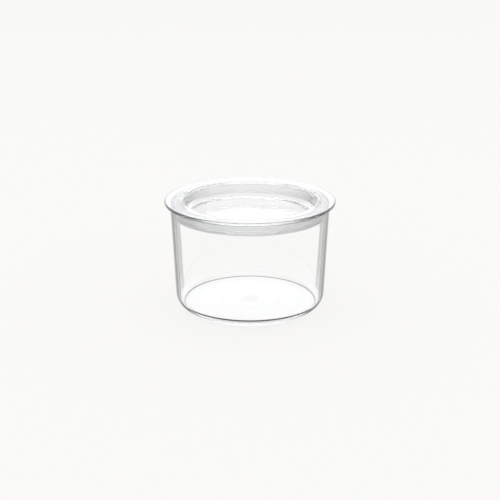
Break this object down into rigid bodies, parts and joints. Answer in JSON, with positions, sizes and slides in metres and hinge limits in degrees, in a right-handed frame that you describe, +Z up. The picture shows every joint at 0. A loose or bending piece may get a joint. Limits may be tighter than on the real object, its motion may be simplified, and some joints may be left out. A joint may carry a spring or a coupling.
{
  "type": "lidded glass canister",
  "caption": "Low round clear glass canister with a rounded heel and a flanged glass lid, dished in the middle and sealed by a translucent silicone ring.",
  "frame": {"origin": "centre of the underside, on the table", "axes": "+Z up the canister's axis; every side is the same"},
  "size_m": [0.095, 0.095, 0.0618],
  "materials": {
    "clear_glass": "polished, clear",
    "silicone": "satin, translucent white"
  },
  "bodies": {
    "root": {"jar": "clear_glass", "lid": "clear_glass", "ring": "silicone"}
  },
  "joints": []
}
